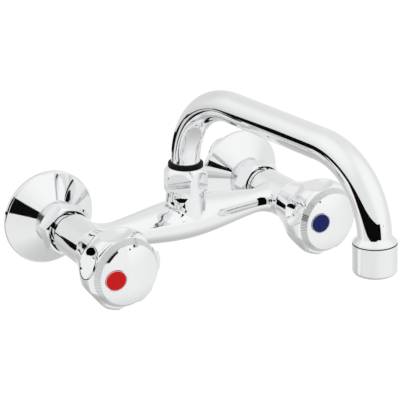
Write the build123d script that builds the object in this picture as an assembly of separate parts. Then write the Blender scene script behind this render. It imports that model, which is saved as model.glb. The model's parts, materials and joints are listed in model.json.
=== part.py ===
from build123d import *
import math
import os

os.makedirs("parts", exist_ok=True)

# Wall-mounted two-handle basin mixer tap with a swivelling spout.
# Millimetres, +Z up, -Y towards the user, +X to the user's right.
# The origin is midway between the two wall inlets, on the wall plane.
# Distances named "from the wall" run along -Y; distances named "up" start at the valve axis.

# Overall layout
inlet_spacing = 150.0
union_offset = 9.0
valve_axis_z = -union_offset
bridge_from_wall = 50.0
# Each side: name, direction along X, turn of the union nut, angle of the index disc
sides = (("left", -1.0, 45.0, 181.8), ("right", 1.0, 55.0, 169.4))

# Eccentric unions
wall_thread_radius = 10.48
wall_thread_depth = 23.0
tap_thread_radius = 13.22
tap_thread_start = 5.0
union_end = 23.6
union_shoulder_margin = 1.2
union_wall_bore = 7.5
union_tap_bore = 8.5
thread_pitch = 1.814
thread_groove_width = 0.36
thread_groove_depth = 0.45
thread_plain_end = 1.5
union_end_chamfer = 0.8

# Wall covers
cover_rim_radius = 31.4
cover_rim_height = 3.0
cover_rim_round = 0.9
cover_slope = 28.0
cover_front_radius = 14.6
cover_sheet = 1.2
cover_hole_clearance = 0.1

# Union nuts
union_nut_start = 19.7
union_nut_flats = 30.0
union_nut_end = 31.0
union_nut_chamfer_radius = 15.2
union_nut_chamfer_length = 1.5
union_nut_thread_clearance = 0.06
union_nut_lip_start = 27.8
union_nut_lip_end = 30.0
union_nut_lip_clearance = 0.3
union_nut_recess_margin = 0.4

# Inlet gasket, strainer and the split ring that keeps the nut on the body
gasket_thickness = 1.8
gasket_radius = 12.0
strainer_start = 0.6
strainer_thickness = 0.8
strainer_hole_radius = 0.65
strainer_hole_pitch = 2.1
strainer_rim = 1.3
strainer_rows = 7
keeper_width = 1.2
keeper_radius = 12.2
keeper_groove_depth = 0.9
keeper_clearance = 0.03
keeper_split = 2.0

# Mixer body
neck_radius = 10.5
barrel_radius = 13.5
barrel_start = 35.0
barrel_end = 64.8
barrel_chamfer = 0.8
inlet_bore_radius = 8.5
partition_start = 38.0
partition_end = 41.0
seat_hole_radius = 5.5
seat_lip_radius = 6.6
seat_lip_height = 1.0
chamber_wall = 3.5
bonnet_thread_wall = 3.02
arm_bore_radius = 5.0
arm_profile = (
    (0.0, 14.0),
    (12.0, 13.5),
    (24.0, 12.2),
    (36.0, 10.5),
    (48.0, 8.9),
    (56.0, 8.4),
    (62.0, 9.4),
    (68.0, 11.6),
    (74.0, 13.3),
)
boss_top_radius = 12.6
boss_foot_radius = 13.8
boss_foot_up = 8.0
boss_top_up = 20.4
boss_thread_radius = 11.6
boss_thread_top_up = 31.0
centre_chamber_radius = 8.0
centre_chamber_floor_up = -6.0
socket_floor_up = 12.0

# Valve bonnets
bonnet_start = 54.5
bonnet_thread_clearance = 0.04
bonnet_gasket_thickness = 0.8
bonnet_flange_inset = 1.3
bonnet_flange_thickness = 1.2
bonnet_flats = 20.0
bonnet_hex_height = 3.5
bonnet_neck_radius = 8.0
bonnet_end = 75.0
bonnet_guide_flats = 12.5
bonnet_guide_end = 63.2
spindle_bore_radius = 5.05

# Valve plugs with their washers and screws
washer_thickness = 3.0
washer_radius = 7.0
washer_screw_radius = 1.6
washer_screw_head_radius = 3.2
washer_screw_head_height = 1.8
washer_screw_slot = 0.8
washer_screw_length = 6.8
plug_flange_radius = 7.4
plug_flange_thickness = 2.0
plug_flats = 12.4
plug_end = 58.4
plug_bore_start = 49.5
plug_bore_radius = 4.0
plug_pilot_depth = 4.0

# Valve spindles
spindle_start = 52.9
spindle_thread_radius = 3.95
spindle_tip_chamfer = 0.6
spindle_collar_start = 61.7
spindle_collar_end = 63.1
spindle_collar_radius = 6.2
spindle_radius = 5.0
o_ring_groove_start = 65.9
o_ring_groove_width = 1.8
o_ring_groove_radius = 3.6
circlip_start = 75.2
circlip_thickness = 0.8
circlip_groove_radius = 4.3
circlip_radius = 6.4
circlip_opening = 5.0
spindle_shoulder = 76.8
spindle_end = 90.0
spindle_drive_radius = 4.0
spindle_drive_clearance = 0.02
handle_screw_radius = 2.5
handle_screw_start = 78.5
handle_screw_hole_start = 78.0
handle_screw_head_radius = 4.6
handle_screw_head_height = 3.0
handle_screw_key_flats = 3.0
handle_screw_key_depth = 2.0

# Handles: radius and distance from the wall along the flared outside
handle_profile = (
    (14.7, 66.9),
    (15.8, 70.0),
    (17.8, 75.0),
    (19.8, 80.0),
    (21.6, 84.0),
    (23.3, 88.0),
    (24.7, 92.0),
    (25.3, 96.5),
    (25.0, 100.0),
    (23.9, 102.6),
    (22.0, 103.5),
)
flute_radius = 18.0
flute_from_axis = 38.3
flute_from_wall = 96.3
flute_count = 6
first_flute_angle = 157.0
handle_boss_radius = 7.5
handle_back_wall = 1.9
handle_back_step = 71.5
handle_inner_start_wall = 2.15
handle_inner_end_wall = 2.45
handle_web_start = 86.0
handle_pocket_radius = 18.5
cap_skirt_clearance = 0.05
flute_edge_round = 0.8
cap_skirt_start = 97.5
cap_skirt_sheet = 2.0
cap_band_front_radius = 19.5
cap_band_front = 107.0
cap_top = 110.2
cap_sheet = 2.6
knurl_count = 120
knurl_groove_radius = 0.36
index_from_axis = 10.1
index_recess_radius = 6.8
index_recess_depth = 1.5
index_radius = 6.45
index_crown = 0.35

# Spout
spout_turn = 4.6
tube_radius = 9.5
tube_bore_radius = 7.6
tube_foot_up = 12.3
first_bend_up = 39.7
first_bend_radius = 47.1
first_bend_angle = 90.4
spout_run = 79.8
second_bend_radius = 45.2
total_bend_angle = 175.9
split_groove_depth = 0.6
spout_ring_groove_depth = 1.06
spout_ring_section = 0.53
spout_ring_groove_width = 1.5
lower_ring_up = 16.0
upper_ring_up = 24.0

# Spout nut, black ring and split ring
spout_nut_flats = 26.0
spout_nut_turn = 9.4
spout_nut_bottom_up = 20.8
spout_nut_lip_radius = 14.2
spout_nut_lip_height = 1.3
spout_nut_dome_up = 27.5
spout_nut_top_radius = 11.4
spout_nut_bulge = 0.9
spout_nut_top_up = 36.0
spout_nut_thread_clearance = 0.06
spout_nut_cap_up = 33.5
spout_nut_opening_margin = 0.8
black_ring_radius = 11.4
black_ring_height = 3.1
black_ring_edge = 0.9
running_clearance = 0.06
split_ring_inset = 0.46
split_ring_seat_clearance = 0.03
split_ring_clearance = 0.1
split_ring_gap = 2.5

# Aerator: distances along the outlet axis, counted from the end of the second bend
shoulder_start = -2.0
shoulder_inset = 0.3
shoulder_slope_end = 0.6
shoulder_end = 1.9
shoulder_edge = 0.35
housing_thread_wall = 1.34
outlet_thread_end = 9.9
housing_radius = 12.4
housing_end = 19.6
housing_round = 2.8
housing_thread_clearance = 0.06
housing_wall = 2.0
housing_lip_start = 18.4
housing_lip_inset = 3.2
aerator_gasket_thickness = 1.6
aerator_gasket_width = 2.75
insert_clearance = 0.05
insert_wall = 1.4
insert_top_thickness = 1.2
insert_mesh_thickness = 1.4
mesh_pitch = 1.8
mesh_hole = 1.25
mesh_margin = 0.65
jet_hole_radius = 0.75
jet_margin = 2.55
jet_count = 12

groove_overlap = 1.0
half_spacing = inlet_spacing / 2.0
gasket_end = union_end + gasket_thickness
seat_face = partition_end + seat_lip_height
plug_face = seat_face + washer_thickness
bonnet_flange_start = barrel_end + bonnet_gasket_thickness
bonnet_hex_start = bonnet_flange_start + bonnet_flange_thickness
bonnet_hex_end = bonnet_hex_start + bonnet_hex_height
keeper_start = union_nut_lip_start - keeper_width
gasket_bore_radius = union_tap_bore
keeper_groove_radius = neck_radius - keeper_groove_depth
union_nut_recess_radius = barrel_radius + union_nut_recess_margin
chamber_radius = barrel_radius - chamber_wall
bonnet_bore_radius = barrel_radius - bonnet_thread_wall
bonnet_thread_radius = bonnet_bore_radius - bonnet_thread_clearance
bonnet_gasket_radius = barrel_radius - bonnet_flange_inset
split_groove_radius = tube_radius - split_groove_depth
spout_ring_groove_radius = tube_radius - spout_ring_groove_depth
spout_nut_opening = tube_radius + spout_nut_opening_margin
split_ring_radius = boss_thread_radius + spout_nut_thread_clearance - split_ring_inset
shoulder_radius = housing_radius - shoulder_inset
outlet_thread_radius = housing_radius - housing_thread_wall - housing_thread_clearance
housing_bore_radius = housing_radius - housing_wall
housing_lip_radius = housing_radius - housing_lip_inset
insert_radius = housing_bore_radius - insert_clearance
insert_inner_radius = insert_radius - insert_wall
handle_end = handle_profile[-1][1]
cap_band_back_radius = handle_profile[-1][0]
hex_corner = 1.0 / math.cos(math.radians(30.0))


def valve_plane(from_wall):
    # Local X is the world X, local Y is the world Z, and extruding goes towards the user.
    return Plane(origin=(0.0, -from_wall, 0.0), x_dir=(1.0, 0.0, 0.0), z_dir=(0.0, -1.0, 0.0))


def turned_face(face):
    # The face is drawn with X as the radius and Y as the distance from the wall.
    plane = Plane(origin=(0.0, 0.0, 0.0), x_dir=(1.0, 0.0, 0.0), z_dir=(0.0, 0.0, -1.0))
    return revolve(plane * face, Axis((0.0, 0.0, 0.0), (0.0, -1.0, 0.0)), 360.0)


def turned(points):
    return turned_face(make_face(Polyline(*points, close=True)))


def rod(radius, start, end):
    return valve_plane(start) * extrude(Circle(radius), end - start)


def tube_ring(outer, inner, start, end):
    return valve_plane(start) * extrude(Circle(outer) - Circle(inner), end - start)


def hexagon(flats, start, end, turn=0.0):
    outline = RegularPolygon(flats / 2.0, 6, major_radius=False, rotation=turn)
    return valve_plane(start) * extrude(outline, end - start)


def around_y(angle):
    # Positive angles go from +X to +Z as the user sees them.
    return Rot(0.0, -angle, 0.0)


def thread_profile(radius, start, end, inner):
    # A threaded tube drawn with evenly spaced narrow grooves.
    points = [(inner, start), (radius - union_end_chamfer, start), (radius, start + union_end_chamfer)]
    position = start + thread_plain_end
    while position + thread_groove_width < end - thread_plain_end:
        points.append((radius, position))
        points.append((radius - thread_groove_depth, position + thread_groove_width / 2.0))
        points.append((radius, position + thread_groove_width))
        position += thread_pitch
    points.append((radius, end))
    points.append((inner, end))
    return points


def mirrored_thread(radius, start, end, inner):
    points = thread_profile(radius, 0.0, end - start, inner)
    return [(r, end - s) for r, s in points]


def eccentric_union():
    wall_axis = Pos(0.0, 0.0, union_offset)
    overlap = 0.5
    wall_thread = thread_profile(wall_thread_radius, -wall_thread_depth, overlap, union_wall_bore)
    tap_thread = mirrored_thread(tap_thread_radius, tap_thread_start - overlap, union_end, union_tap_bore)
    wall_end = wall_axis * turned(wall_thread)
    tap_end = turned(tap_thread)
    outline = Circle(tap_thread_radius + union_shoulder_margin)
    outline += Pos(0.0, union_offset) * Circle(wall_thread_radius + union_shoulder_margin)
    shoulder = valve_plane(0.0) * extrude(make_hull(outline.edges()), tap_thread_start)
    passage = Circle(union_tap_bore) & Pos(0.0, union_offset) * Circle(union_wall_bore)
    through = valve_plane(0.0) * extrude(passage, tap_thread_start)
    joined = shoulder - through
    joined -= wall_axis * rod(union_wall_bore, -overlap, tap_thread_start / 2.0)
    joined -= rod(union_tap_bore, tap_thread_start / 2.0, tap_thread_start + overlap)
    return joined + wall_end + tap_end


def wall_cover():
    # A flat cone of sheet with a rounded rim, open towards the wall.
    rim = cover_rim_radius
    rise = math.tan(math.radians(cover_slope))
    sink = cover_sheet / math.cos(math.radians(cover_slope))
    hole = tap_thread_radius + cover_hole_clearance
    rim_start = (rim - cover_rim_round, cover_rim_height)
    front = cover_rim_height + (rim_start[0] - cover_front_radius) * rise
    inner_front = cover_rim_height + (rim_start[0] - hole) * rise - sink
    inner_rim_radius = rim - cover_sheet
    inner_rim = cover_rim_height + (rim_start[0] - inner_rim_radius) * rise - sink
    corner = cover_rim_round * (1.0 - math.sqrt(0.5))
    edge = ThreePointArc(
        (rim, cover_rim_height - cover_rim_round),
        (rim - corner, cover_rim_height - corner),
        rim_start,
    )
    rest = Polyline(
        rim_start,
        (cover_front_radius, front),
        (hole, front),
        (hole, inner_front),
        (inner_rim_radius, inner_rim),
        (inner_rim_radius, 0.0),
        (rim, 0.0),
        (rim, cover_rim_height - cover_rim_round),
    )
    return turned_face(make_face(Curve() + [edge, rest]))


def union_nut(turn):
    start = union_nut_start
    corner = union_nut_flats / 2.0 * hex_corner
    block = hexagon(union_nut_flats, start, union_nut_end, turn)
    envelope = turned([
        (0.0, start),
        (union_nut_chamfer_radius, start),
        (corner, start + union_nut_chamfer_length),
        (corner, union_nut_end - union_nut_chamfer_length),
        (union_nut_chamfer_radius, union_nut_end),
        (0.0, union_nut_end),
    ])
    nut = block & envelope
    nut -= rod(tap_thread_radius + union_nut_thread_clearance, start, union_nut_lip_start)
    nut -= rod(neck_radius + union_nut_lip_clearance, start, union_nut_end)
    nut -= rod(union_nut_recess_radius, union_nut_lip_end, union_nut_end)
    return nut


def inlet_gasket():
    return tube_ring(gasket_radius, gasket_bore_radius, union_end, gasket_end)


def inlet_strainer():
    start = union_end + strainer_start
    disc = rod(gasket_bore_radius, start, start + strainer_thickness)
    holes = Sketch()
    for spot in HexLocations(strainer_hole_pitch / 2.0, strainer_rows, strainer_rows, major_radius=False):
        if spot.position.length < gasket_bore_radius - strainer_rim:
            holes += spot * Circle(strainer_hole_radius)
    return disc - valve_plane(start) * extrude(holes, strainer_thickness)


def keeper_ring():
    inner = keeper_groove_radius + keeper_clearance
    ring = tube_ring(keeper_radius, inner, keeper_start, union_nut_lip_start)
    gap = Box(keeper_split, 4.0 * keeper_width, 2.0 * keeper_radius)
    return ring - Pos(0.0, -keeper_start, -keeper_radius) * gap


def barrel_outside():
    neck_end = barrel_start + barrel_chamfer
    neck = rod(neck_radius, gasket_end, neck_end)
    outer = neck_radius + groove_overlap
    neck -= tube_ring(outer, keeper_groove_radius, keeper_start, union_nut_lip_start)
    barrel = turned([
        (0.0, barrel_start),
        (barrel_radius - barrel_chamfer, barrel_start),
        (barrel_radius, barrel_start + barrel_chamfer),
        (barrel_radius, barrel_end - barrel_chamfer / 2.0),
        (barrel_radius - barrel_chamfer / 2.0, barrel_end),
        (0.0, barrel_end),
    ])
    return neck + barrel


def barrel_hollow():
    return turned([
        (0.0, gasket_end),
        (inlet_bore_radius, gasket_end),
        (inlet_bore_radius, partition_start),
        (seat_hole_radius, partition_start),
        (seat_hole_radius, seat_face),
        (seat_lip_radius, seat_face),
        (seat_lip_radius, partition_end),
        (chamber_radius, partition_end),
        (chamber_radius, bonnet_start),
        (bonnet_bore_radius, bonnet_start),
        (bonnet_bore_radius, barrel_end),
        (0.0, barrel_end),
    ])


def bridge():
    # The hollow arm between the barrels, slim beside each barrel and thick in the middle.
    outer = [(-x, r) for x, r in reversed(arm_profile[1:])] + list(arm_profile)
    first, last = outer[0], outer[-1]
    curve = Spline(*outer)
    rest = Polyline(last, (last[0], 0.0), (first[0], 0.0), first)
    return revolve(make_face(Curve() + [curve, rest]), Axis.X, 360.0)


def boss():
    # The upright socket for the spout with the spout nut's thread on top.
    foot_height = boss_top_up - boss_foot_up
    cone = Cone(boss_foot_radius, boss_top_radius, foot_height)
    shape = Pos(0.0, 0.0, boss_foot_up + foot_height / 2.0) * cone
    shape += Pos(0.0, 0.0, boss_foot_up / 2.0) * Cylinder(boss_foot_radius, boss_foot_up)
    return shape + Pos(0.0, 0.0, boss_thread_top_up / 2.0) * Cylinder(boss_thread_radius, boss_thread_top_up)


def centre_hollow():
    # The mixing chamber with the spout's socket above it.
    chamber_height = socket_floor_up - centre_chamber_floor_up
    socket_depth = boss_thread_top_up - socket_floor_up
    chamber = Cylinder(centre_chamber_radius, chamber_height)
    socket = Cylinder(tube_radius + running_clearance, socket_depth)
    hollow = Pos(0.0, 0.0, centre_chamber_floor_up + chamber_height / 2.0) * chamber
    return hollow + Pos(0.0, 0.0, socket_floor_up + socket_depth / 2.0) * socket


def mixer_body():
    bridge_axis = Pos(0.0, -bridge_from_wall, 0.0)
    body = bridge_axis * (bridge() + boss())
    for _, sign, _, _ in sides:
        body += Pos(sign * half_spacing, 0.0, 0.0) * barrel_outside()
    for _, sign, _, _ in sides:
        body -= Pos(sign * half_spacing, 0.0, 0.0) * barrel_hollow()
    passage = inlet_spacing - 2.0 * seat_hole_radius
    body -= bridge_axis * Rot(0.0, 90.0, 0.0) * Cylinder(arm_bore_radius, passage)
    body -= bridge_axis * centre_hollow()
    for _, sign, _, _ in sides:
        seat = tube_ring(seat_lip_radius, seat_hole_radius, partition_start, seat_face)
        body += Pos(sign * half_spacing, 0.0, 0.0) * seat
    return body


def bonnet_gasket():
    return tube_ring(bonnet_gasket_radius, bonnet_thread_radius, barrel_end, bonnet_flange_start)


def valve_bonnet():
    body = rod(bonnet_thread_radius, bonnet_start, bonnet_flange_start)
    body += rod(bonnet_gasket_radius, bonnet_flange_start, bonnet_hex_start)
    body += hexagon(bonnet_flats, bonnet_hex_start, bonnet_hex_end)
    body += rod(bonnet_neck_radius, bonnet_hex_end, bonnet_end)
    body -= hexagon(bonnet_guide_flats, bonnet_start, bonnet_guide_end)
    return body - rod(spindle_bore_radius, bonnet_guide_end, bonnet_end)


def seat_washer():
    return tube_ring(washer_radius, washer_screw_radius, seat_face, plug_face)


def washer_screw():
    head_start = seat_face - washer_screw_head_height
    screw = rod(washer_screw_head_radius, head_start, seat_face)
    screw += rod(washer_screw_radius, seat_face, seat_face + washer_screw_length)
    slot = Box(4.0 * washer_screw_head_radius, washer_screw_slot, washer_screw_slot)
    return screw - Pos(0.0, -head_start - washer_screw_slot / 2.0, 0.0) * slot


def valve_plug():
    sleeve_start = plug_face + plug_flange_thickness
    plug = rod(plug_flange_radius, plug_face, sleeve_start)
    plug += hexagon(plug_flats, sleeve_start, plug_end)
    plug -= rod(washer_screw_radius, plug_face, plug_face + plug_pilot_depth)
    return plug - rod(plug_bore_radius, plug_bore_start, plug_end)


def valve_spindle():
    groove_end = o_ring_groove_start + o_ring_groove_width
    circlip_end = circlip_start + circlip_thickness
    return turned([
        (0.0, spindle_start),
        (spindle_thread_radius - spindle_tip_chamfer, spindle_start),
        (spindle_thread_radius, spindle_start + spindle_tip_chamfer),
        (spindle_thread_radius, spindle_collar_start),
        (spindle_collar_radius, spindle_collar_start),
        (spindle_collar_radius, spindle_collar_end),
        (spindle_radius, spindle_collar_end),
        (spindle_radius, o_ring_groove_start),
        (o_ring_groove_radius, o_ring_groove_start),
        (o_ring_groove_radius, groove_end),
        (spindle_radius, groove_end),
        (spindle_radius, circlip_start),
        (circlip_groove_radius, circlip_start),
        (circlip_groove_radius, circlip_end),
        (spindle_radius, circlip_end),
        (spindle_radius, spindle_shoulder),
        (spindle_drive_radius, spindle_shoulder),
        (spindle_drive_radius, spindle_end),
        (handle_screw_radius, spindle_end),
        (handle_screw_radius, handle_screw_hole_start),
        (0.0, handle_screw_hole_start),
    ])


def spindle_o_ring():
    section = (spindle_radius - o_ring_groove_radius) / 2.0
    middle = o_ring_groove_start + o_ring_groove_width / 2.0
    return Pos(0.0, -middle, 0.0) * Rot(90.0, 0.0, 0.0) * Torus(o_ring_groove_radius + section, section)


def spindle_circlip():
    ring = tube_ring(circlip_radius, circlip_groove_radius, circlip_start, circlip_start + circlip_thickness)
    gap = Box(circlip_opening, 4.0 * circlip_thickness, 2.0 * circlip_radius)
    return ring - Pos(0.0, -circlip_start, -circlip_radius) * gap


def radius_at(from_wall):
    # The handle's outside radius, read off its profile between two given points.
    for (first_radius, first), (next_radius, following) in zip(handle_profile, handle_profile[1:]):
        if first <= from_wall <= following:
            share = (from_wall - first) / (following - first)
            return first_radius + share * (next_radius - first_radius)
    return handle_profile[-1][0]


def handle_body():
    back_radius, back = handle_profile[0]
    front_radius, front = handle_profile[-1]
    outside = Spline(*handle_profile)
    bore = spindle_drive_radius + spindle_drive_clearance
    step_radius = radius_at(handle_back_step) - handle_inner_start_wall
    web_radius = radius_at(handle_web_start) - handle_inner_end_wall
    back_bore = back_radius - handle_back_wall
    inside = Polyline(
        (front_radius, front),
        (handle_pocket_radius, front),
        (handle_pocket_radius, spindle_end),
        (bore, spindle_end),
        (bore, spindle_shoulder),
        (handle_boss_radius, spindle_shoulder),
        (handle_boss_radius, handle_web_start),
        (web_radius, handle_web_start),
        (step_radius, handle_back_step),
        (back_bore, handle_back_step),
        (back_bore, back),
        (back_radius, back),
    )
    body = turned_face(make_face(Curve() + [outside, inside]))
    scoop = Pos(flute_from_axis, -flute_from_wall, 0.0) * Sphere(flute_radius)
    for step in range(flute_count):
        body -= around_y(first_flute_angle + 360.0 * step / flute_count) * scoop
    flutes = body.faces().filter_by(GeomType.SPHERE)
    rims = ShapeList([edge for flute in flutes for edge in flute.edges()])
    return fillet(rims, flute_edge_round)


def dome_radius():
    rise = cap_top - cap_band_front
    return (cap_band_front_radius ** 2 + rise ** 2) / (2.0 * rise)


def dome_point(radius):
    centre = cap_top - dome_radius()
    return centre + math.sqrt(dome_radius() ** 2 - radius ** 2)


def index_plane(depth, angle):
    # The plane that touches the dome where the index disc sits, sunk by the given depth.
    across = index_from_axis * math.cos(math.radians(angle))
    up = index_from_axis * math.sin(math.radians(angle))
    front = dome_point(index_from_axis)
    centre = cap_top - dome_radius()
    normal = Vector(across, centre - front, up).normalized()
    return Plane(origin=Vector(across, -front, up) - normal * depth, z_dir=normal)


def handle_cap(index_angle):
    skirt = handle_pocket_radius - cap_skirt_clearance
    inner = skirt - cap_skirt_sheet
    half = cap_band_front_radius / 2.0
    band = Polyline(
        (skirt, cap_skirt_start),
        (skirt, handle_end),
        (cap_band_back_radius, handle_end),
        (cap_band_front_radius, cap_band_front),
    )
    dome = ThreePointArc((cap_band_front_radius, cap_band_front), (half, dome_point(half)), (0.0, cap_top))
    lining_edge = (inner, dome_point(inner) - cap_sheet)
    lining = ThreePointArc(
        (0.0, cap_top - cap_sheet),
        (inner / 2.0, dome_point(inner / 2.0) - cap_sheet),
        lining_edge,
    )
    axis_line = Line((0.0, cap_top), (0.0, cap_top - cap_sheet))
    back = Polyline(lining_edge, (inner, cap_skirt_start), (skirt, cap_skirt_start))
    cap = turned_face(make_face(Curve() + [band, dome, axis_line, lining, back]))
    band_rise = cap_band_front - handle_end
    slant = math.degrees(math.atan2(cap_band_back_radius - cap_band_front_radius, band_rise))
    length = 2.0 * band_rise
    middle_radius = (cap_band_back_radius + cap_band_front_radius) / 2.0
    middle = (handle_end + cap_band_front) / 2.0
    groove = Pos(middle_radius, -middle, 0.0) * Rot(0.0, 0.0, -slant) * Rot(90.0, 0.0, 0.0)
    groove = groove * Cylinder(knurl_groove_radius, length)
    grooves = [around_y(360.0 * step / knurl_count) * groove for step in range(knurl_count)]
    cap = cap - grooves
    seat = index_plane(index_recess_depth, index_angle)
    return cap - seat * extrude(Circle(index_recess_radius), 2.0 * index_recess_depth)


def index_disc(index_angle):
    crown_radius = (index_radius ** 2 + index_crown ** 2) / (2.0 * index_crown)
    blank = extrude(Circle(index_radius), index_recess_depth + index_crown)
    crown = Pos(0.0, 0.0, index_recess_depth + index_crown - crown_radius) * Sphere(crown_radius)
    return index_plane(index_recess_depth, index_angle) * (blank & crown)


def handle_screw():
    screw = rod(handle_screw_radius, handle_screw_start, spindle_end)
    screw += rod(handle_screw_head_radius, spindle_end, spindle_end + handle_screw_head_height)
    head_end = spindle_end + handle_screw_head_height
    return screw - hexagon(handle_screw_key_flats, head_end - handle_screw_key_depth, head_end)


def spout_frame():
    # Local X points forward along the spout, local Y points up, from the spout axis at valve height.
    turn = math.radians(spout_turn)
    forward = (math.sin(turn), -math.cos(turn), 0.0)
    across = (-math.cos(turn), -math.sin(turn), 0.0)
    return Plane(origin=(0.0, -bridge_from_wall, 0.0), x_dir=forward, z_dir=across)


def spout_points():
    # Where the straight and bent lengths of the spout meet, in the spout frame.
    first = math.radians(first_bend_angle)
    total = math.radians(total_bend_angle)
    start_bend = (0.0, first_bend_up)
    end_first = (
        first_bend_radius * (1.0 - math.cos(first)),
        first_bend_up + first_bend_radius * math.sin(first),
    )
    end_run = (end_first[0] + spout_run * math.sin(first), end_first[1] + spout_run * math.cos(first))
    end_second = (
        end_run[0] + second_bend_radius * (math.cos(first) - math.cos(total)),
        end_run[1] + second_bend_radius * (math.sin(total) - math.sin(first)),
    )
    return start_bend, end_first, end_run, end_second


def bend_middle(start, radius, start_angle, end_angle):
    middle = (start_angle + end_angle) / 2.0
    return (
        start[0] + radius * (math.cos(start_angle) - math.cos(middle)),
        start[1] + radius * (math.sin(middle) - math.sin(start_angle)),
    )


def spout_path():
    start_bend, end_first, end_run, end_second = spout_points()
    first = math.radians(first_bend_angle)
    total = math.radians(total_bend_angle)
    riser = Line((0.0, tube_foot_up), start_bend)
    bend = ThreePointArc(start_bend, bend_middle(start_bend, first_bend_radius, 0.0, first), end_first)
    run = Line(end_first, end_run)
    drop = ThreePointArc(end_run, bend_middle(end_run, second_bend_radius, first, total), end_second)
    return spout_frame() * (Curve() + [riser, bend, run, drop])


def outlet_place():
    # The end of the second bend with local Z along the outlet axis.
    end = spout_points()[3]
    total = math.radians(total_bend_angle)
    frame = spout_frame()
    origin = frame.from_local_coords(Vector(end[0], end[1], 0.0))
    ahead = frame.from_local_coords(Vector(end[0] + math.sin(total), end[1] + math.cos(total), 0.0))
    return Plane(origin=origin, x_dir=frame.z_dir, z_dir=ahead - origin)


def around_outlet(points):
    # Points are radius and distance along the outlet axis.
    face = Plane.XZ * make_face(Polyline(*points, close=True))
    return outlet_place() * revolve(face, Axis.Z, 360.0)


def spout_tube():
    path = spout_path()
    foot = Plane(origin=(0.0, -bridge_from_wall, tube_foot_up), z_dir=(0.0, 0.0, 1.0))
    outside = sweep(foot * Circle(tube_radius), path=path)
    inside = sweep(foot * Circle(tube_bore_radius), path=path)
    outlet = around_outlet([
        (0.0, shoulder_start),
        (tube_radius, shoulder_start),
        (shoulder_radius, shoulder_slope_end),
        (shoulder_radius, shoulder_end - shoulder_edge),
        (shoulder_radius - shoulder_edge, shoulder_end),
        (outlet_thread_radius, shoulder_end),
        (outlet_thread_radius, outlet_thread_end),
        (0.0, outlet_thread_end),
    ])
    bore = around_outlet([
        (0.0, shoulder_start),
        (tube_bore_radius, shoulder_start),
        (tube_bore_radius, outlet_thread_end),
        (0.0, outlet_thread_end),
    ])
    tube = outside + outlet - inside - bore
    axis = Pos(0.0, -bridge_from_wall, 0.0)
    for up in (lower_ring_up, upper_ring_up):
        tube -= axis * Pos(0.0, 0.0, up) * tube_groove(spout_ring_groove_radius, spout_ring_groove_width)
    height = spout_nut_cap_up - boss_thread_top_up
    middle = boss_thread_top_up + height / 2.0
    return tube - axis * Pos(0.0, 0.0, middle) * tube_groove(split_groove_radius, height)


def tube_groove(radius, width):
    return Cylinder(tube_radius + groove_overlap, width) - Cylinder(radius, width)


def spout_o_ring(up):
    ring = Torus(spout_ring_groove_radius + spout_ring_section, spout_ring_section)
    return Pos(0.0, -bridge_from_wall, up) * ring


def spout_split_ring():
    bottom = boss_thread_top_up + split_ring_clearance
    height = spout_nut_cap_up - split_ring_clearance - bottom
    inner = split_groove_radius + split_ring_seat_clearance
    ring = Cylinder(split_ring_radius, height) - Cylinder(inner, height)
    ring -= Pos(-split_ring_radius, 0.0, 0.0) * Box(2.0 * split_ring_radius, split_ring_gap, 2.0 * height)
    return Pos(0.0, -bridge_from_wall, bottom + height / 2.0) * ring


def upright(points):
    # Points are radius and height above the valve axis, turned about the spout axis.
    face = Plane.XZ * make_face(Polyline(*points, close=True))
    return Pos(0.0, -bridge_from_wall, 0.0) * revolve(face, Axis.Z, 360.0)


def spout_nut():
    corner = spout_nut_flats / 2.0 * hex_corner
    bottom = spout_nut_bottom_up
    outline = RegularPolygon(spout_nut_flats / 2.0, 6, major_radius=False, rotation=spout_nut_turn)
    block = Pos(0.0, -bridge_from_wall, bottom) * extrude(outline, spout_nut_top_up - bottom)
    side = Line((corner, bottom), (corner, spout_nut_dome_up))
    dome_middle_radius = (corner + spout_nut_top_radius) / 2.0 + spout_nut_bulge
    dome_middle_up = (spout_nut_dome_up + spout_nut_top_up) / 2.0 + spout_nut_bulge
    dome = ThreePointArc(
        (corner, spout_nut_dome_up),
        (dome_middle_radius, dome_middle_up),
        (spout_nut_top_radius, spout_nut_top_up),
    )
    top = spout_nut_top_up
    rest = Polyline((spout_nut_top_radius, top), (0.0, top), (0.0, bottom), (corner, bottom))
    envelope = revolve(Plane.XZ * make_face(Curve() + [side, dome, rest]), Axis.Z, 360.0)
    nut = block & Pos(0.0, -bridge_from_wall, 0.0) * envelope
    lip_top = bottom + spout_nut_lip_height
    lip = spout_nut_lip_radius
    nut += upright([(0.0, bottom), (lip, bottom), (lip, lip_top), (0.0, lip_top)])
    thread = boss_thread_radius + spout_nut_thread_clearance
    nut -= upright([(0.0, bottom), (thread, bottom), (thread, spout_nut_cap_up), (0.0, spout_nut_cap_up)])
    return nut - upright([(0.0, bottom), (spout_nut_opening, bottom), (spout_nut_opening, top), (0.0, top)])


def spout_ring():
    inner = tube_radius + running_clearance
    top = spout_nut_top_up + black_ring_height
    return upright([
        (inner, spout_nut_cap_up),
        (spout_nut_opening, spout_nut_cap_up),
        (spout_nut_opening, spout_nut_top_up),
        (black_ring_radius, spout_nut_top_up),
        (black_ring_radius, top - black_ring_edge),
        (black_ring_radius - black_ring_edge, top),
        (inner, top),
    ])


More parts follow.
